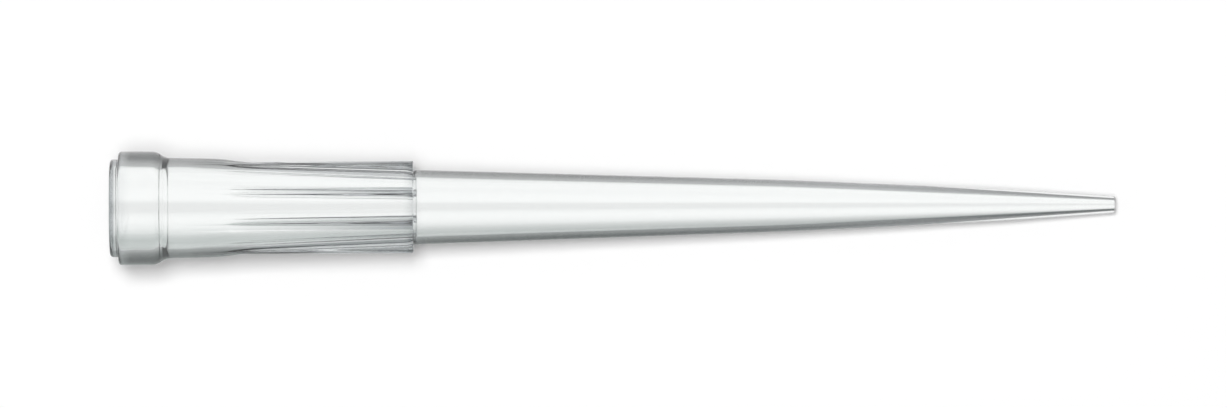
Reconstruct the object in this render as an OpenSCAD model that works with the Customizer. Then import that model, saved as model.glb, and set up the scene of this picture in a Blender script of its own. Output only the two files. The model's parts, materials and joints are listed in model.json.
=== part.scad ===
// Pipette tip, one moulding: a collared mouth that pushes onto the pipette's nozzle, a ribbed
// upper body, and a long cone down to the point. It lies on the bench as it comes to rest, on
// the ends of two ribs and near its point, mouth towards -X and point towards +X.
// All sizes are in millimetres. "Along" always means along the tip's own axis, from the mouth.

/* [Overall] */
// Length from the mouth to the point
tip_len = 53; // [51:0.5:56]
// Outer diameter at the point
point_d = 0.88; // [0.8:0.02:1]
// Diameter of the hole at the point
orifice_d = 0.44; // [0.36:0.02:0.5]

/* [Mouth and collar] */
// Outer diameter of the thin lip at the mouth
lip_d = 5.16; // [5.1:0.02:5.24]
// Where the lip ends and the collar begins
lip_end = 0.45; // [0.4:0.05:0.6]
// Outer diameter of the collar
collar_d = 6; // [5.8:0.05:6.1]
// Where the collar's full diameter ends
collar_end = 2.45; // [2.1:0.05:2.6]
// Radius on the lip's and the collar's leading edges
edge_r = 0.2; // [0.1:0.02:0.24]

/* [Socket for the nozzle] */
// Diameter of the opening at the mouth
mouth_d = 4.56; // [4.48:0.02:4.6]
// Diameter of the straight band that seals on the nozzle
seal_d = 4.36; // [4.3:0.02:4.4]
// Where the sealing band begins
seal_start = 1.4; // [1:0.1:1.8]
// Where the sealing band ends, at the step inside the bore
seal_end = 4.3; // [3.8:0.1:4.6]
// Outer diameter of the body where the collar's bevel meets it
socket_d = 5.32; // [5.26:0.02:5.4]
// Outer diameter at the socket's far end
socket_end_d = 5.2; // [5.16:0.02:5.24]
// Where the thick socket wall ends
socket_end = 6; // [5.8:0.1:6.2]

/* [Ribs] */
// Number of ribs round the body
rib_count = 8; // [8:2:12]
// Diameter across the ribs' outer faces
rib_d = 5.1; // [5.04:0.02:5.14]
// Thickness of a rib at its outer face
rib_w = 0.34; // [0.25:0.01:0.45]
// Draft angle on each side of a rib
rib_draft = 6; // [2:1:10]
// Where the ribs end squarely
rib_end = 16; // [15:0.5:17]
// Outer diameter of the body between the ribs, where they begin
root_d = 4.84; // [4.76:0.02:4.9]
// Outer diameter of the body between the ribs, where they end
root_end_d = 4.2; // [4.1:0.02:4.3]

/* [Lower cone] */
// Outer diameter just past the ribs
cone_d = 3.94; // [3.86:0.02:4]
// Where the cone's taper gets steeper
bend_at = 36; // [34:0.5:38]
// Outer diameter at that bend
bend_d = 2.7; // [2.6:0.02:2.8]
// Length of the last stretch, which tapers most
nose_len = 5.5; // [4:0.5:7]
// Outer diameter where the last stretch begins
nose_d = 1.64; // [1.56:0.02:1.7]

/* [Bore] */
// Diameter of the bore just below the sealing step
bore_d = 4.24; // [4.16:0.02:4.26]
// Diameter of the bore beside the rib ends
bore_rib_d = 3.16; // [3.1:0.02:3.24]
// Diameter of the bore at the bend
bore_bend_d = 2; // [1.94:0.02:2.1]

/* [Hidden] */
$fn = 96;

bevel_len = 0.45;       // length of the collar's bevel down to the body
blend_len = 0.8;        // length over which the socket thins down to the ribbed body
step_len = 0.3;         // length of the small step round the body at the rib ends
seal_step_len = 0.3;    // length of the step inside the bore, below the sealing band
rib_bury = 0.8;         // how far a rib starts inside the thick socket wall
arc_steps = 6;          // straight steps in a quarter-round edge
past = 1;               // how far the bore's cutter runs past both ends

step_at = rib_end - step_len * 2 / 3;
cone_start = step_at + step_len;
rib_start = socket_end - rib_bury;
rib_pitch = 360 / rib_count;

// How the tip lies: on the lowest corners of its two lowest rib ends, and on whichever edge of
// the lower cone comes down first. Its centre of mass is between the two, nearer the ribs.
rest_depth = rib_d / 2 * cos(rib_pitch / 2) + rib_w / 2 * sin(rib_pitch / 2);
rest_slope = min([
    for (edge = [[bend_d, bend_at], [nose_d, tip_len - nose_len], [point_d, tip_len]])
        (rest_depth - edge[0] / 2) / (edge[1] - rib_end)
]);
rest_tilt = atan(rest_slope);
rest_lift = (rest_depth + rib_end * rest_slope) * cos(rest_tilt);
x_low = -(lip_d / 2 - edge_r) * sin(rest_tilt) - edge_r * (1 - cos(rest_tilt));
x_high = tip_len * cos(rest_tilt) + point_d / 2 * sin(rest_tilt);

// Quarter-round edge: points from the end face round to the side, as [radius, along]
function rounded_edge(r, along) = [
    for (i = [0 : arc_steps])
        let (a = 90 * i / arc_steps)
            [r - edge_r + edge_r * sin(a), along + edge_r - edge_r * cos(a)]
];

// Outside of the moulding without its ribs, turned from a half outline
module outer_form() {
    rotate_extrude()
        polygon(concat(
            [[0, 0]],
            rounded_edge(lip_d / 2, 0),
            [[lip_d / 2, lip_end]],
            rounded_edge(collar_d / 2, lip_end),
            [
                [collar_d / 2, collar_end],
                [socket_d / 2, collar_end + bevel_len],
                [socket_end_d / 2, socket_end],
                [root_d / 2, socket_end + blend_len],
                [root_end_d / 2, step_at],
                [cone_d / 2, cone_start],
                [bend_d / 2, bend_at],
                [nose_d / 2, tip_len - nose_len],
                [point_d / 2, tip_len],
                [0, tip_len]
            ]
        ));
}

// The space inside: lead-in, sealing band, step, and the liquid's tapering bore
module bore_form() {
    rotate_extrude()
        polygon([
            [0, -past],
            [mouth_d / 2, -past],
            [mouth_d / 2, 0],
            [seal_d / 2, seal_start],
            [seal_d / 2, seal_end],
            [bore_d / 2, seal_end + seal_step_len],
            [bore_rib_d / 2, rib_end],
            [bore_bend_d / 2, bend_at],
            [orifice_d / 2, tip_len],
            [orifice_d / 2, tip_len + past],
            [0, tip_len + past]
        ]);
}

// One straight rib, a little thicker towards its root, with its outer face towards +X
module rib() {
    foot = root_end_d / 2 - (root_end_d - bore_rib_d) / 4;
    tall = rib_d / 2 - foot;
    flare = tall * tan(rib_draft);
    translate([0, 0, rib_start])
        linear_extrude(height = rib_end - rib_start)
            polygon([
                [foot, -rib_w / 2 - flare],
                [rib_d / 2, -rib_w / 2],
                [rib_d / 2, rib_w / 2],
                [foot, rib_w / 2 + flare]
            ]);
}

// The moulding upright on its own axis, mouth at the bottom, with +X midway between two ribs
module upright_tip() {
    difference() {
        union() {
            outer_form();
            for (i = [0 : rib_count - 1])
                rotate([0, 0, rib_pitch * (i + 0.5)])
                    rib();
        }
        bore_form();
    }
}

module pipette_tip() {
    color([0.93, 0.94, 0.95, 0.6])
        translate([-(x_low + x_high) / 2, 0, rest_lift])
            rotate([0, 90 + rest_tilt, 0])
                upright_tip();
}

pipette_tip();
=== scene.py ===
# %% [markdown]
# # A clear pipette tip on a white bench
# The tip is one hollow moulding of clear polypropylene, 53 mm long: a collared mouth that
# pushes onto a pipette's nozzle, eight straight ribs on the upper body, and a long cone down to
# a fine open point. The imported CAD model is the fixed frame. It says where the tip lies, how
# large it is and which way its axis runs, so it is loaded first and its box is kept.

# %% Load the frame
import json
import math

import bpy
import numpy as np
from mathutils import Matrix, Vector


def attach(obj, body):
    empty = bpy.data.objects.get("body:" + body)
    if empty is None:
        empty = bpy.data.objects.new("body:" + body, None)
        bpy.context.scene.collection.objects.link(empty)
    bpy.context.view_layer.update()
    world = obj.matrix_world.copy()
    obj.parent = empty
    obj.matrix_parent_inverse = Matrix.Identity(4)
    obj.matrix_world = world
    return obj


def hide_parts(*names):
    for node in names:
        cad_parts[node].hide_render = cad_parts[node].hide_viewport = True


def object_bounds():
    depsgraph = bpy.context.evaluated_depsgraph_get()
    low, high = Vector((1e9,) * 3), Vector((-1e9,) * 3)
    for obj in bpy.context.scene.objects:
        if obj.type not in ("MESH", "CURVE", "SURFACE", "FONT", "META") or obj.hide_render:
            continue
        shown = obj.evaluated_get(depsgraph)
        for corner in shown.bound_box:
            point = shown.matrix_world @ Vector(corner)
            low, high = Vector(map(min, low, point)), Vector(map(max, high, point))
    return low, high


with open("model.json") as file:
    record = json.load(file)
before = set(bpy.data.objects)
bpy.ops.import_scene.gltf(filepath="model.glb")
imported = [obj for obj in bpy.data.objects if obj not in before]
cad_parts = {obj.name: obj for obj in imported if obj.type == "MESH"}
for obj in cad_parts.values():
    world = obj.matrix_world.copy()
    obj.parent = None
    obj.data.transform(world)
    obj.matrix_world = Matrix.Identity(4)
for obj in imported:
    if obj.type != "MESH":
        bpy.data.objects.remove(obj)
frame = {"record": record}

MM = 0.001      # a millimetre in metres

scene = bpy.context.scene
cad_box = [list(corner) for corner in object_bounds()]
print("CAD box in millimetres:", np.round(np.array(cad_box) / MM, 3).tolist())

# %% [markdown]
# ## Where the tip's axis runs
# The tip leans about three degrees down towards its point, because it rests on two rib ends and
# on its cone. The axis could be typed in again, but the record already gives the middle of the
# sealing band and its direction, so both are read from there. Lengths below are in
# millimetres along that axis, counted from the mouth, and become metres when the points of the
# mesh are placed.

# %% The axis and the directions across it
BAND_MIDDLE = 2.85      # from the mouth to the middle of the sealing band

band = next(mount for mount in frame["record"]["mounts"] if mount["name"] == "nozzle_socket")
axis = -np.array(band["axis"])
side = np.array([0.0, 1.0, 0.0])
down = np.cross(side, axis)
mouth = np.array(band["pos_m"]) - axis * BAND_MIDDLE * MM
tilt = math.atan2(-axis[2], axis[0])
print("tilt in degrees:", round(math.degrees(tilt), 3), " mouth at", np.round(mouth / MM, 3))

# %% [markdown]
# ## The outline of the wall
# Half a section through the tip is a thin closed outline: out round the rim and the collar,
# down the outside to the point, through the hole and back up the bore. It could be drawn as a
# curve and spun, but the ribs need more than a spin, so the outline is kept as rows of numbers
# and the grid is worked out from them.

# %% Corners of the outline: along, radius, and how much of the corner is rounded away
OUTSIDE = np.array([
    [0.00, 2.33, 0.00],
    [0.00, 2.58, 0.20],     # lip
    [0.45, 2.58, 0.06],
    [0.45, 3.00, 0.20],     # collar
    [2.45, 3.00, 0.24],
    [2.90, 2.66, 0.30],     # foot of the bevel, which sits in a rack
    [5.80, 2.60, 0.50],
    [7.20, 2.41, 0.80],     # body between the ribs
    [15.80, 2.10, 0.14],
    [16.10, 1.97, 0.14],    # step at the rib ends
    [36.00, 1.35, 2.00],
    [47.50, 0.82, 1.00],
    [53.00, 0.44, 0.06],
    [53.00, 0.33, 0.00],
])
INSIDE = np.array([
    [53.00, 0.33, 0.00],
    [53.00, 0.22, 0.04],    # the hole at the point
    [36.00, 1.00, 2.00],
    [16.00, 1.58, 1.50],
    [5.00, 2.10, 0.40],
    [4.10, 2.18, 0.40],     # step below the sealing band
    [1.40, 2.18, 0.30],
    [0.00, 2.28, 0.05],
    [0.00, 2.33, 0.00],
])
print("corners outside and inside:", len(OUTSIDE), len(INSIDE))

# %% [markdown]
# ## Rounded corners and spare rows
# Moulded edges are never sharp, and in clear plastic a small radius shows as a bright or dark
# line, so every corner gets one. A Bevel modifier could cut them, but it would also cut the
# ribs and the bore, each by the same amount. Rounded in the outline, each corner has its own
# radius. Long straight stretches get spare rows, because the grey tint (partly painted shade)
# further down is kept at the mesh's points and only changes evenly from one row to the next.

# %% The outline, rounded and filled
CORNER_STEPS = 5
SUPPORT = 0.03      # how far before and after a rounded corner an extra row lies
ROW_GAP = 0.7


def spread(count):
    """Numbers from 0 to 1, closer together at both ends: (1 - cos(pi t)) / 2, where t goes
    from 0 to 1 in even steps."""
    return (1 - np.cos(np.linspace(0, math.pi, count))) / 2


def rounded(corners):
    """Outline with rounded corners. Near a corner P the line follows the curve
    (1-s)^2 A + 2s(1-s) P + s^2 B, where A and B lie on the two sides, as far from P as is
    rounded away, and s runs from 0 to 1. A row just before A and just after B keeps the
    smooth shading of the curve from spreading along the straight sides."""
    points, cut = corners[:, :2], corners[1:-1, 2:]
    to_last = points[:-2] - points[1:-1]
    to_next = points[2:] - points[1:-1]
    to_last /= np.linalg.norm(to_last, axis=1, keepdims=True)
    to_next /= np.linalg.norm(to_next, axis=1, keepdims=True)
    start, end = points[1:-1] + to_last * cut, points[1:-1] + to_next * cut
    s = spread(CORNER_STEPS + 1)[None, :, None]
    curve = (1 - s) ** 2 * start[:, None] + 2 * s * (1 - s) * points[1:-1, None] + s**2 * end[:, None]
    before = (start + to_last * np.minimum(SUPPORT, cut / 2))[:, None]
    after = (end + to_next * np.minimum(SUPPORT, cut / 2))[:, None]
    rows = np.concatenate([before, curve, after], axis=1).reshape(-1, 2)
    return np.concatenate([points[:1], rows, points[-1:]])


def filled(rows):
    """Adds rows along the straight stretches: the outline is read off by the distance
    walked along it, at its own rows and at every ROW_GAP between them, unless one of its
    own rows is less than a quarter of that away."""
    walked = np.append(0, np.cumsum(np.linalg.norm(np.diff(rows, axis=0), axis=1)))
    spare = np.arange(ROW_GAP / 2, walked[-1], ROW_GAP)
    clear = np.abs(spare[:, None] - walked).min(axis=1) > ROW_GAP / 4
    at = np.sort(np.append(walked, spare[clear]))
    return np.stack([np.interp(at, walked, rows[:, 0]), np.interp(at, walked, rows[:, 1])], axis=1)


outer_wall = filled(rounded(OUTSIDE))
bore_wall = filled(rounded(INSIDE))
print("rows outside and inside:", len(outer_wall), len(bore_wall))

# %% [markdown]
# ## The ribs
# Eight straight ribs stiffen the upper body. They keep one outer diameter while the body
# between them tapers, so they come out of the socket wall at nothing and stand nearly half a
# millimetre tall where they end squarely. Separate rib solids could be joined with a Boolean,
# but clear plastic shows every seam. Here the ribs belong to the same surface: one half rib is
# a short outline (top, rounded edge, drafted flank, hollow fillet, wall between the ribs), and
# the height of the rib at each place along the tip stretches it.

# %% The outline of half a rib, at every place along the tip
RIB_COUNT = 8
HALF_PITCH = math.pi / RIB_COUNT
RIB_TOP = 2.55                      # radius of the flat tops
RIB_HALF_WIDTH = 0.17
RIB_DRAFT = math.radians(6)
RIB_EDGE, RIB_FILLET = 0.1, 0.14    # radii at the top and at the foot
MOST_ROUNDED = 0.95                 # share of a low rib's height that they may take up
RIB_RUN_OUT = 0.03                  # how softly a rib leaves the wall
LEAST_HEIGHT = 0.25                 # a lower rib keeps the width of one as tall as this
TOP_COLUMNS, EDGE_COLUMNS, FILLET_COLUMNS, WALL_COLUMNS = 2, 5, 7, 6


def half_rib(body, share):
    """Angle and radius across half a rib pitch, from the rib's middle to midway between two
    ribs, one line of numbers for each place along the tip. body is the radius between the
    ribs and share how much of the rib's height stands there.

    The full height is the top's radius less the body's, and runs out softly to nothing. The
    outline is worked out flat, as distance across y and height z: the top is level, the
    flank leans out by the draft, a circle of the edge's radius joins the two, and a larger
    circle joins the flank to the wall at z = 0. Then it is bent round the body. The foot
    takes on the sag of the body's circle, body - sqrt(body^2 - y^2), the top stays level,
    and the points between them do both, by their share of the height. That gives x, the
    distance outwards. The angle is atan2(y, x) and the radius sqrt(x^2 + y^2)."""
    body, share = body[:, None], share[:, None]
    proud = RIB_TOP - body
    full_height = (proud + np.sqrt(proud**2 + RIB_RUN_OUT**2)) / 2
    height = np.maximum(full_height, LEAST_HEIGHT)
    fit = np.minimum(1, height / (RIB_EDGE + RIB_FILLET) * MOST_ROUNDED)
    edge, fillet = RIB_EDGE * fit, RIB_FILLET * fit
    lean, upright = math.sin(RIB_DRAFT), math.cos(RIB_DRAFT)
    edge_y = RIB_HALF_WIDTH + edge * (lean - 1) / upright
    foot_y = RIB_HALF_WIDTH + (fillet + (height - fillet) * lean) / upright

    level_to_flank = RIB_DRAFT + (math.pi / 2 - RIB_DRAFT) * (1 - spread(EDGE_COLUMNS))
    flank_to_wall = RIB_DRAFT + (math.pi / 2 - RIB_DRAFT) * spread(FILLET_COLUMNS)
    top_y = edge_y * np.linspace(0, 1, TOP_COLUMNS + 1)[:-1]
    round_y = edge_y + edge * np.cos(level_to_flank)
    round_z = height - edge + edge * np.sin(level_to_flank)
    hollow_y = foot_y - fillet * np.cos(flank_to_wall)
    hollow_z = fillet - fillet * np.sin(flank_to_wall)
    flank_y = (round_y[:, -1:] + hollow_y[:, :1]) / 2
    flank_z = (round_z[:, -1:] + hollow_z[:, :1]) / 2
    wall_y = foot_y + (body * math.sin(HALF_PITCH) - foot_y) * np.linspace(0, 1, WALL_COLUMNS + 1)[1:]

    y = np.concatenate([top_y, round_y, flank_y, hollow_y, wall_y], axis=1)
    z = np.concatenate([height + 0 * top_y, round_z, flank_z, hollow_z, 0 * wall_y], axis=1)
    sag = body - np.sqrt(body**2 - y**2)
    stands = z / height * share
    x = body - sag * (1 - stands) + full_height * stands
    return np.arctan2(y, x), np.hypot(x, y)


print("columns in half a rib pitch:", TOP_COLUMNS + EDGE_COLUMNS + 1 + FILLET_COLUMNS + WALL_COLUMNS)

# %% [markdown]
# ## The whole moulding as one closed grid
# Rows run once round the wall's outline and columns once round the axis, so the grid closes on
# itself both ways, like a ring doughnut that was pulled out long and thin, and there is no
# seam or hole anywhere. A wall with no thickness and a Solidify modifier could do it too, but
# the wall of a tip changes its thickness all the way. The ribs' square ends are rows at the
# same place along the tip, in which the ribs' height sinks to nothing.

# %% Rows of the closed outline, with how much of the ribs stands in each
RIBS_FROM = 4.0                 # no rib stands out of the wall before here
RIB_END = 16.0
END_ROWS = np.array([           # how far before the ribs' end, and share of their height
    [0.550, 1.000],
    [0.300, 1.000],
    [0.050, 1.000],
    [0.015, 0.985],
    [0.000, 0.940],
    [0.000, 0.750],
    [0.000, 0.500],
    [0.000, 0.250],
    [0.000, 0.100],
    [0.000, 0.030],
    [-0.030, 0.000],
])
LEAST_GAP = 0.01                # between these rows and the others

end_along = RIB_END - END_ROWS[:, 0]
body_wall = outer_wall[outer_wall[:, 0] > RIBS_FROM]
end_rows = np.stack([end_along, np.interp(end_along, body_wall[:, 0], body_wall[:, 1])], axis=1)
before_end = outer_wall[outer_wall[:, 0] < end_along[0] - LEAST_GAP]
past_end = outer_wall[outer_wall[:, 0] > end_along[-1] + LEAST_GAP]

along, radius = np.concatenate([before_end, end_rows, past_end[:-1], bore_wall[:-1]]).T
rib_share = np.zeros(len(along))
rib_share[:len(before_end)] = before_end[:, 0] > RIBS_FROM
rib_share[len(before_end):len(before_end) + len(end_rows)] = END_ROWS[:, 1]
up_to_rib_end = np.arange(len(along)) < len(before_end) + len(end_rows)
has_ribs = (up_to_rib_end & (along > RIBS_FROM))[:, None]
print("rows round the wall:", len(along), " with ribs:", int(has_ribs.sum()))

# %% [markdown]
# ## The points of the grid
# A rib with half of the wall on either side of it is a half rib and its mirror image, and
# eight of them make a round. Where there are no ribs a row is a plain circle. Its points could
# be spread evenly, but they stay at the angles that they have beside the ribs, so that no face
# is twisted where the ribs begin and end.

# %% Points of the grid
PLAIN_BODY = 2.1        # radius between the ribs that sets the angles where there are none

half_angle, ribbed_radius = half_rib(np.where(up_to_rib_end, radius, PLAIN_BODY), rib_share)
half_radius = np.where(has_ribs, ribbed_radius, radius[:, None])
pitch_angle = np.concatenate([half_angle, 2 * HALF_PITCH - half_angle[:, -2:0:-1]], axis=1)
pitch_radius = np.concatenate([half_radius, half_radius[:, -2:0:-1]], axis=1)
rib_angle = (np.arange(RIB_COUNT) + 0.5) * 2 * HALF_PITCH
angle = (pitch_angle[:, None, :] + rib_angle[None, :, None]).reshape(len(along), -1)
reach = np.tile(pitch_radius, (1, RIB_COUNT))

points = (
    mouth
    + axis * (along[:, None, None] * MM)
    + (down * np.cos(angle)[..., None] + side * np.sin(angle)[..., None]) * (reach[..., None] * MM)
)
print("grid:", points.shape[:2], "largest radius", round(float(reach.max()), 4))

# %% [markdown]
# ## Where the plastic is grey
# A moulding isn't equally clear all over. The rim, the front edge of the collar and the ribs'
# square ends get narrow grey rings: painted shade for the dark lines that these edges show.
# A rib is thicker than the wall beside it, so more light is lost in it, and most where it
# stands tallest; its grey is partly that haze and partly painted shade. The grey could be
# painted on an image, but it follows the shape, so it is worked out from the same rows and
# kept as a number at every point of the mesh. A second number says where light that is caught
# in the wall has only a short way before it gets out again: in the lip and along the ribs,
# where it soon meets a corner, and partly towards the point, where the tip is thin. The wall
# looks lighter there, and towards the point this is also painted light for the lamp light
# that the far wall catches.

# %% Grey tint (haze and painted shade) and the short way, at every point of the grid
# A rib's grey is partly the haze of thicker plastic and partly painted shade.
RIB_HAZE_AND_SHADE = 5.0          # times the square of a rib's height in millimetres
# The rings are painted shade: narrow darker bands at the rim, the collar's front edge and the ribs' square
# ends.
SHADE_RINGS = np.array([     # along, half width, how dull
    [0.05, 0.17, 1.00],     # rim of the mouth
    [0.52, 0.10, 0.25],     # front edge of the collar
    [15.92, 0.20, 0.45],    # square ends of the ribs
])
# Towards the point the lighter wall is also painted light, for the lamp light that the far wall catches.
SHORT_WAY = np.array([      # along, and 0 for a long way to 1 for a short one
    [0.0, 1.0],
    [0.5, 1.0],
    [0.8, 0.0],
    [6.0, 0.0],
    [8.0, 1.0],
    [15.9, 1.0],
    [16.1, 0.0],
    [24.0, 0.0],
    [40.0, 0.5],
    [46.0, 0.45],
    [53.0, 0.25],
])


def ring_shade(place):
    """How dark the rings' painted shade makes each place along the tip. A ring fades on both sides as
    exp(-(distance / half width)^2), and where two meet the darker one counts."""
    middle, half_width, darkest = SHADE_RINGS.T[:, :, None]
    return (darkest * np.exp(-(((place - middle) / half_width) ** 2))).max(axis=0)


# Grey tint at every point: painted shade in the rings, and haze with painted shade on the ribs.
rib_height = np.where(has_ribs, reach - radius[:, None], 0)
rib_haze_and_shade = RIB_HAZE_AND_SHADE * rib_height**2
haze_and_shade = np.maximum(rib_haze_and_shade, ring_shade(along)[:, None])
short_way = np.interp(along, *SHORT_WAY.T)[:, None] + 0 * reach
print("dullest rib:", round(float(rib_haze_and_shade.max()), 2))
print("dullest ring:", round(float(ring_shade(along).max()), 2))

# %% [markdown]
# ## The mesh
# The grid's points are put into a mesh as they are. Each face joins four neighbours, and the
# last row and column join the first. The faces could be added one by one with bmesh, but whole
# arrays are shorter to write and much quicker.

# %% A closed grid as a mesh
def closed_grid(name, grid):
    """Mesh of a grid that joins up both ways: the face at row i, column j has the corners
    (i, j), (i, j+1), (i+1, j+1) and (i+1, j), each counted round to 0 past the last."""
    rows, columns = grid.shape[:2]
    i, j = np.meshgrid(np.arange(rows), np.arange(columns), indexing="ij")
    next_i, next_j = (i + 1) % rows, (j + 1) % columns
    corners = [i * columns + j, i * columns + next_j, next_i * columns + next_j, next_i * columns + j]
    faces = np.stack(corners, axis=-1).reshape(-1, 4)
    mesh = bpy.data.meshes.new(name)
    mesh.vertices.add(rows * columns)
    mesh.vertices.foreach_set("co", grid.reshape(-1).astype(np.float32))
    mesh.loops.add(faces.size)
    mesh.loops.foreach_set("vertex_index", faces.reshape(-1).astype(np.int32))
    mesh.polygons.add(len(faces))
    mesh.polygons.foreach_set("loop_start", np.arange(0, faces.size, 4, dtype=np.int32))
    mesh.update(calc_edges=True)
    mesh.validate()
    mesh.shade_smooth()
    piece = bpy.data.objects.new(name, mesh)
    scene.collection.objects.link(piece)
    return piece


tip = closed_grid("tip_moulding", points)
print("triangles:", len(tip.data.polygons) * 2)

# %% [markdown]
# ## Facing outwards
# The plastic bends light by which side of the skin it is on, so the faces have to point
# outwards. Blender could turn them face by face, but all faces of a grid point the same way,
# and the sign of the volume inside settles it for all at once. Its amount is printed as well,
# and the CAD model's solid holds about 220 cubic millimetres of plastic.

# %% The volume, and the two numbers at every point
def volume(mesh):
    """Volume inside a closed mesh: the sum over its triangles of a . (b x c) / 6. It is
    positive when the faces point outwards."""
    mesh.calc_loop_triangles()
    corners = np.empty(len(mesh.loop_triangles) * 3, dtype=np.int32)
    mesh.loop_triangles.foreach_get("vertices", corners)
    co = np.empty(len(mesh.vertices) * 3)
    mesh.vertices.foreach_get("co", co)
    a, b, c = co.reshape(-1, 3)[corners.reshape(-1, 3)].transpose(1, 0, 2)
    return float(np.einsum("ij,ij->i", a, np.cross(b, c)).sum() / 6)


if volume(tip.data) < 0:
    tip.data.flip_normals()
for name, amount in (("haze_and_painted_shade", haze_and_shade), ("short_way", short_way)):
    attribute = tip.data.attributes.new(name, "FLOAT", "POINT")
    attribute.data.foreach_set("value", np.clip(amount, 0, 1).reshape(-1).astype(np.float32))
print("volume in cubic millimetres:", round(volume(tip.data) / MM**3, 1))

# %% [markdown]
# ## Helpers for materials
# A material is a net of nodes. Each node has sockets that take a value or a link, and sockets
# that give a result. Such a net could be put together by hand in the shader editor, but a
# script gives the same finish every time. Most of its lines would only link one socket to
# another, so these helpers take a value or a result in the same way, and a net can be read
# from its first line to its last.

# %% Helpers, and a new material
def empty_net(owner):
    """The net of nodes of a material or a world, with nothing in it yet."""
    owner.use_nodes = True
    owner.node_tree.nodes.clear()
    return owner.node_tree


def feed(net, socket, source):
    """Sets a socket to a value, or links it to a result. A node stands for its first result."""
    if isinstance(source, bpy.types.Node):
        source = source.outputs[0]
    if isinstance(source, bpy.types.NodeSocket):
        net.links.new(source, socket)
    else:
        socket.default_value = source


def node(net, kind, **sources):
    """New shader node with some of its sockets fed, by their names."""
    made = net.nodes.new("ShaderNode" + kind)
    for name, source in sources.items():
        feed(net, made.inputs[name.replace("_", " ")], source)
    return made


def colour_mix(net, amount, first, second):
    """Mix of two colours: all of the first where the amount is 0, of the second where 1."""
    mix = net.nodes.new("ShaderNodeMix")
    mix.data_type = "RGBA"
    for name, source in (("Factor", amount), ("A", first), ("B", second)):
        feed(net, mix.inputs[name], source)
    return mix.outputs["Result"]


def shader_mix(net, amount, first, second):
    """Mix of two shaders: all of the first where the amount is 0, of the second where 1."""
    mix = node(net, "MixShader", Fac=amount)
    feed(net, mix.inputs[1], first)
    feed(net, mix.inputs[2], second)
    return mix


plastic = bpy.data.materials.new("clear_polypropylene")
net = empty_net(plastic)
print("material:", plastic.name)

# %% [markdown]
# ## Clear polypropylene
# Polypropylene isn't as clear as glass. It bends light about as much (1.49), its skin is
# smooth with faint lines drawn along the flow, and the plastic itself holds a little haze. The
# Glass shader treats the inside of the skin as a perfect mirror, so light that is caught in
# the wall comes out as bright as it went in, and walls and ribs vanish on white. In the real
# plastic that light is scattered and lost on its way. So the glass is put together here from
# its two halves, mixed by Fresnel: one that bends light, and one that mirrors it. The skin
# comes first.

# %% The skin: faint ripples and a faintly uneven gloss along the flow
SKIN_ROUGHNESS = 0.06
SKIN_RIPPLE = 0.0005 * MM
FLOW_LINES = (150, 4000, 4000)      # ripples in a metre, along and across the tip

place = node(net, "TexCoord").outputs["Object"]
along_flow = node(net, "Mapping", Vector=place, Rotation=(0, -tilt, 0), Scale=FLOW_LINES)
flow = node(net, "TexNoise", Vector=along_flow, Scale=1.0, Detail=3.0, Roughness=0.5)
gloss = node(net, "MapRange", Value=flow, From_Min=0.3, From_Max=0.7, To_Min=0.0, To_Max=SKIN_ROUGHNESS)
ripple = node(net, "Bump", Height=flow, Strength=1.0, Distance=SKIN_RIPPLE)
print("roughest skin:", SKIN_ROUGHNESS, " ripples in millimetres:", SKIN_RIPPLE / MM)

# %% [markdown]
# ## The dim mirror inside the wall
# The mirror half is white outside. From inside the plastic it is dim, and the flatter the
# light meets the skin the dimmer it is, because such light runs a long way inside the wall.
# This makes the wall a grey line with a dark outer edge. Layer Weight's Facing is 0 where
# light meets the skin square on and 1 where it skims along it, and light is caught from
# about 0.26 on. Geometry's Backfacing is 1 inside the plastic.

# %% Colour of the mirror
WHITE = (1.0, 1.0, 1.0, 1)
STEEP_MIRROR = (0.48, 0.49, 0.49, 1)
FLAT_MIRROR = (0.16, 0.17, 0.17, 1)
# Where the short way is set towards the point, this lighter mirror is painted light.
SHORT_WAY_MIRROR = (0.58, 0.59, 0.6, 1)
STEEP, FLAT = 0.27, 0.42            # Facing at which each of the first two is reached


def point_value(net, name):
    """The number kept under this name at the mesh's points."""
    made = node(net, "Attribute")
    made.attribute_name = name
    return made.outputs["Fac"]


facing = node(net, "LayerWeight", Blend=0.5).outputs["Facing"]
flatness = node(net, "MapRange", Value=facing, From_Min=STEEP, From_Max=FLAT)
long_way_mirror = colour_mix(net, flatness, STEEP_MIRROR, FLAT_MIRROR)
inner_mirror = colour_mix(net, point_value(net, "short_way"), long_way_mirror, SHORT_WAY_MIRROR)
is_inside = node(net, "NewGeometry").outputs["Backfacing"]
mirror_colour = colour_mix(net, is_inside, WHITE, inner_mirror)
print("mirror inside the wall:", STEEP_MIRROR[0], "to", FLAT_MIRROR[0])

# %% [markdown]
# ## Lamp light through the plastic
# Light that is bent by the wall reaches the bench in fine bright and dark lines, and needs
# thousands of samples before they are smooth. So rays that look for a lamp go straight
# through instead. Each skin that they cross passes about two thirds of their light where they
# meet it squarely, less from 42 degrees off square, and none from 60 degrees. The middle of
# the tip then throws a paler shadow than its two edges, as the real one does.

# %% The plastic as a lamp's light sees it
LET_THROUGH = 0.65
LET_FROM, LET_TO = 0.26, 0.5        # Facing where it starts to fall, and where none is left

let = node(net, "MapRange", Value=facing, From_Min=LET_FROM, From_Max=LET_TO, To_Min=LET_THROUGH, To_Max=0.0)
let.interpolation_type = "SMOOTHSTEP"
filtered = node(net, "BsdfTransparent", Color=let)
print("light left after four skins, square on:", round(LET_THROUGH**4, 2))

# %% [markdown]
# ## The finished plastic
# Fresnel says how much of the light the skin mirrors. The rest goes through and is bent, less
# of it where the plastic is tinted grey for haze and painted shade. The haze could be a fog
# inside the wall, but that is slow to render, so it is a little matt white on the skin. The
# finished piece rides on the part's only body and takes the place of the CAD model's plain moulding.

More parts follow.
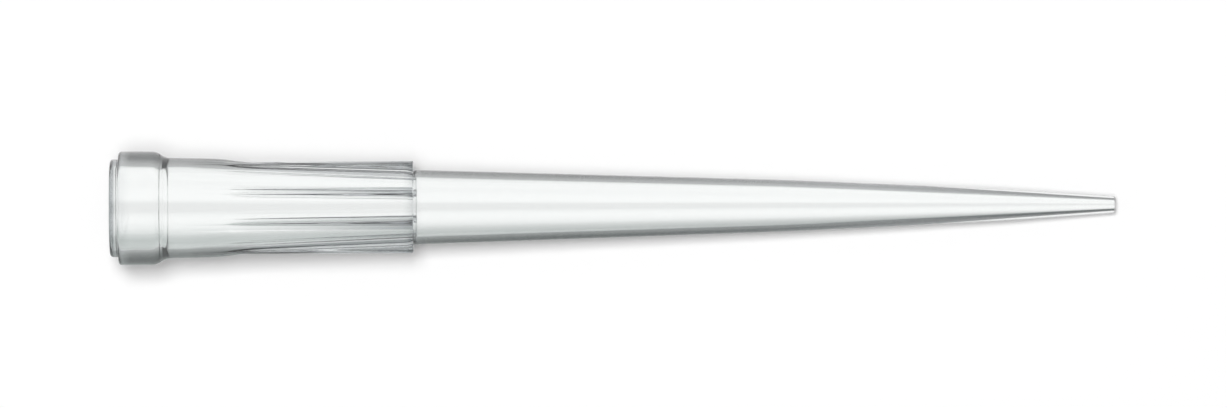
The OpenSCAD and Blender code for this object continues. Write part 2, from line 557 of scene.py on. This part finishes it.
# %% The finished surface
IOR = 1.49
CLEAR = (0.994, 0.999, 0.997, 1)
HAZE_AND_SHADE_GREY = (0.58, 0.6, 0.61, 1)
HAZE_COLOUR = (0.9, 0.92, 0.93, 1)
HAZE = 0.015

# The grey tint is partly haze and partly painted shade.
tint = colour_mix(net, point_value(net, "haze_and_painted_shade"), CLEAR, HAZE_AND_SHADE_GREY)
bent = node(net, "BsdfRefraction", Color=tint, Roughness=gloss, IOR=IOR, Normal=ripple)
mirrored = node(net, "BsdfAnisotropic", Color=mirror_colour, Roughness=gloss, Normal=ripple)
glass = shader_mix(net, node(net, "Fresnel", IOR=IOR, Normal=ripple), bent, mirrored)
hazy = shader_mix(net, HAZE, glass, node(net, "BsdfDiffuse", Color=HAZE_COLOUR))
to_lamp = node(net, "LightPath").outputs["Is Shadow Ray"]
node(net, "OutputMaterial", Surface=shader_mix(net, to_lamp, hazy, filtered))

tip.data.materials.append(plastic)
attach(tip, "root")
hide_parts("pipette_tip")
print("slot:", tip.name, "clear_polypropylene")

# %% [markdown]
# ## The bench
# The tip lies on a plain white bench. A backdrop that curves upwards would do for it too, but
# the world is white for the camera, so one large flat square is enough. It isn't part of the
# tip.

# %% A flat square
FLOOR_HALF = 1.5        # metres

floor_corners = np.array([[-1, -1, 0], [1, -1, 0], [1, 1, 0], [-1, 1, 0]]) * FLOOR_HALF
floor_mesh = bpy.data.meshes.new("floor")
floor_mesh.from_pydata(floor_corners.tolist(), [], [(0, 1, 2, 3)])
floor = bpy.data.objects.new("floor", floor_mesh)
scene.collection.objects.link(floor)
print("floor:", 2 * FLOOR_HALF, "m square")

# %% [markdown]
# ## The painted shadow strip beside the tip
# Rays off or through the plastic see the bench painted almost evenly lit: a glow that stands in
# for the lamp light that the tip's shadow takes away, which keeps the inside of the tip as bright
# as the bench. Only a strip along the tip's near side is darker for them, a painted shadow, and
# it makes the near wall of the tip darker than the far one. Towards the point the strip gets
# narrower, as the tip does, and darker. A real darker card could lie there, but the camera and
# the lamps would see it too.

# %% Painted glow and painted shadow strip on the bench, for rays off or through the plastic
# Painted light: a glow that makes the bench look evenly lit through the plastic.
EVEN_WHITE = (1.03, 1.03, 1.03, 1)
# Painted shadow: the strip's colour beside the mouth and beside the point.
BESIDE_MOUTH = (0.58, 0.62, 0.61, 1)
BESIDE_POINT = (0.38, 0.4, 0.4, 1)
SHADOW_STRIP = (           # millimetres towards the far side, beside the mouth, and share of the strip
    (-13.0, 0.0),
    (-5.0, 1.0),
    (-3.0, 1.0),
    (-0.8, 0.0),
)
NARROWEST = 0.45    # width of the strip beside the point, as a share of that beside the mouth


def grey(level):
    """Colour with the same red, green and blue."""
    return (level, level, level, 1)


def calc(net, operation, first, second):
    """Result of one sum, such as MULTIPLY, on two values or results."""
    made = net.nodes.new("ShaderNodeMath")
    made.operation = operation
    feed(net, made.inputs[0], first)
    feed(net, made.inputs[1], second)
    return made


def ramp(net, amount, stops):
    """Grey level that goes softly from stop to stop, as an amount goes from 0 to 1. A stop
    is an amount and the level there."""
    made = node(net, "ValToRGB", Fac=amount)
    made.color_ramp.interpolation = "EASE"
    elements = made.color_ramp.elements
    while len(elements) < len(stops):
        elements.new(1.0)
    for element, (position, level) in zip(elements, stops):
        element.position, element.color = position, grey(level)
    return made


bench = bpy.data.materials.new("white_bench")
net = empty_net(bench)
place = node(net, "SeparateXYZ", Vector=node(net, "TexCoord").outputs["Object"])
tip_ends = {"From_Min": cad_box[0][0], "From_Max": cad_box[1][0]}
mouth_to_point = node(net, "MapRange", Value=place.outputs["X"], **tip_ends)
narrowing = node(net, "MapRange", Value=place.outputs["X"], To_Min=1.0, To_Max=NARROWEST, **tip_ends)
as_if_wide = calc(net, "DIVIDE", place.outputs["Y"], narrowing)
near_to_far = node(net, "MapRange", Value=as_if_wide, From_Min=SHADOW_STRIP[0][0] * MM, From_Max=0.0)
# The painted shadow strip, mixed into the even glow.
strip = ramp(net, near_to_far, [(1 - across / SHADOW_STRIP[0][0], share) for across, share in SHADOW_STRIP])
shadow_tone = colour_mix(net, mouth_to_point, BESIDE_MOUTH, BESIDE_POINT)
even = node(net, "Emission", Color=colour_mix(net, strip, EVEN_WHITE, shadow_tone))
print("strip beside the mouth, in millimetres:", SHADOW_STRIP[0][0], "to", SHADOW_STRIP[-1][0])

# %% [markdown]
# ## The bench's white
# To show as pure white the bench would need more light than is good for the tip, so it adds a
# little light of its own for rays that come from the camera. The shadow still shows, because
# most of the bench's brightness is lamp light that it scatters. Light that it scatters up into
# the tip must not find the even brightness there, or it would come back and wash out the
# shadow, so Diffuse Depth, which counts how often a ray was scattered, keeps it away.

# %% The finished bench
FLOOR_COLOUR = 0.9
FLOOR_GLOW = 0.11
EVEN_SHARE = 0.94       # of the even brightness, and the rest is the bench as it is


def by_plastic(net, path):
    """1 for rays off or through the plastic, and 0 for all others and for light that a
    matt surface has already scattered."""
    either = calc(net, "MAXIMUM", path.outputs["Is Glossy Ray"], path.outputs["Is Transmission Ray"])
    unscattered = calc(net, "LESS_THAN", path.outputs["Diffuse Depth"], 0.5)
    return calc(net, "MULTIPLY", either, unscattered)


path = node(net, "LightPath")
glow_strength = calc(net, "MULTIPLY", path.outputs["Is Camera Ray"], FLOOR_GLOW)
matt_and_glow = net.nodes.new("ShaderNodeAddShader")
feed(net, matt_and_glow.inputs[0], node(net, "BsdfDiffuse", Color=grey(FLOOR_COLOUR)))
feed(net, matt_and_glow.inputs[1], node(net, "Emission", Color=WHITE, Strength=glow_strength))
# Rays off or through the plastic get mostly the painted even glow.
evenness = calc(net, "MULTIPLY", by_plastic(net, path), EVEN_SHARE)
node(net, "OutputMaterial", Surface=shader_mix(net, evenness, matt_and_glow, even))
floor.data.materials.append(bench)
print("material:", bench.name)

# %% [markdown]
# ## Surroundings
# A clear round thing shows mostly what stands round it. Here that is a bright wall on the far
# side, a dimmer one on the near side, and darkness straight above, where a camera would be.
# The dark gap's mirror image runs down the middle of the tip as a faint grey stripe and makes
# the round form readable. A picture of a studio could be wrapped round the scene, but a few
# plain areas are enough. Only rays off or through the plastic see them. The camera sees plain
# white, and all other rays an even, dim sky, which leaves most of the light to the lamps, so
# that they can throw a clear shadow.

# %% The surroundings, painted on the world
SKY_LIGHT = 0.14
AROUND = (      # place from the near side (0) over the top (0.5) to the far side (1), and level
    (0.02, 0.15),
    (0.14, 0.80),
    (0.28, 0.80),
    (0.42, 0.05),
    (0.58, 0.05),
    (0.70, 1.90),
)

world = bpy.data.worlds.new("studio")
scene.world = world
net = empty_net(world)
direction = node(net, "SeparateXYZ", Vector=node(net, "TexCoord").outputs["Generated"])
over_the_top = node(net, "MapRange", Value=direction.outputs["Y"], From_Min=-1.0, From_Max=1.0)
path = node(net, "LightPath")
lit = colour_mix(net, by_plastic(net, path), grey(SKY_LIGHT), ramp(net, over_the_top, AROUND))
seen = colour_mix(net, path.outputs["Is Camera Ray"], lit, WHITE)
node(net, "OutputWorld", Surface=node(net, "Background", Color=seen, Strength=1.0))
print("sky level:", SKY_LIGHT)

# %% [markdown]
# ## Lamps
# Two soft boxes hang almost overhead. The larger share comes a little from the far side and
# puts the soft shadow on the near side of the tip. The smaller one comes from the near side
# and gives the far edge its narrow shadow, which one lamp alone would leave bare. Their own
# mirror images would draw a bright line down the tip, so rays off or through the plastic
# don't see them.

# %% Two soft boxes
BOX_DISTANCE = 1.1
SOFT_BOXES = (      # name, direction, side in metres, share of what makes a white floor white
    ("far_soft_box", (-0.06, 0.20, 1.0), 0.30, 0.62),
    ("near_soft_box", (-0.06, -0.08, 1.0), 0.30, 0.26),
)


def soft_box(name, towards, size, share_of_light):
    """Square area lamp that faces the tip. A white floor under it gets share_of_light of
    what makes it white: radiance = share x pi / (area x cos / distance^2), and an area
    lamp's power is its radiance x its area x pi."""
    out_to = Vector(towards).normalized()
    radiance = share_of_light * math.pi / (size**2 * out_to.z / BOX_DISTANCE**2)
    lamp = bpy.data.lights.new(name, "AREA")
    lamp.size = size
    lamp.energy = radiance * size**2 * math.pi
    box = bpy.data.objects.new(name, lamp)
    turned = out_to.to_track_quat("Z", "Y").to_matrix().to_4x4()
    box.matrix_world = Matrix.Translation(out_to * BOX_DISTANCE) @ turned
    box.visible_camera = box.visible_glossy = box.visible_transmission = False
    scene.collection.objects.link(box)
    return box


for box in SOFT_BOXES:
    print("lamp:", soft_box(*box).name)

# %% [markdown]
# ## Camera
# The tip is looked at from straight above its axis, through a long lens from far away, which
# keeps the mouth exactly edge-on and the taper true. A camera without any perspective would
# do so too, but a long lens is what one would use on a real bench. It leans two degrees to the
# far side, so that the two upper ribs aren't mirror images of each other.

# %% The camera
LENS = 500.0
SENSOR = 36.0
FRAME_WIDTH = 64.74                 # millimetres from the left to the right of the view
LEAN = math.radians(-1.9)
ROLL = math.radians(0.22)           # lifts the point a little in the view
AIM_RIGHT, AIM_UP = 0.066, 0.124    # millimetres from the middle of the tip's axis
TIP_LENGTH = OUTSIDE[-1, 0]

distance = FRAME_WIDTH * LENS / SENSOR * MM
along_axis = Vector(axis)
back = -Vector(down) * math.cos(LEAN) - Vector(side) * math.sin(LEAN)
level_up = back.cross(along_axis)
right = along_axis * math.cos(ROLL) - level_up * math.sin(ROLL)
up = level_up * math.cos(ROLL) + along_axis * math.sin(ROLL)
aim = Vector(mouth) + along_axis * (TIP_LENGTH / 2 * MM) + right * (AIM_RIGHT * MM) + up * (AIM_UP * MM)

lens = bpy.data.cameras.new("camera")
lens.sensor_width, lens.lens = SENSOR, LENS
lens.clip_start, lens.clip_end = 0.01, 10
camera = bpy.data.objects.new("camera", lens)
facing_tip = Matrix((right, up, back)).transposed().to_4x4()
camera.matrix_world = Matrix.Translation(aim + back * distance) @ facing_tip
scene.collection.objects.link(camera)
scene.camera = camera
scene.view_settings.view_transform = "Standard"
print("camera", round(distance, 3), "m away")
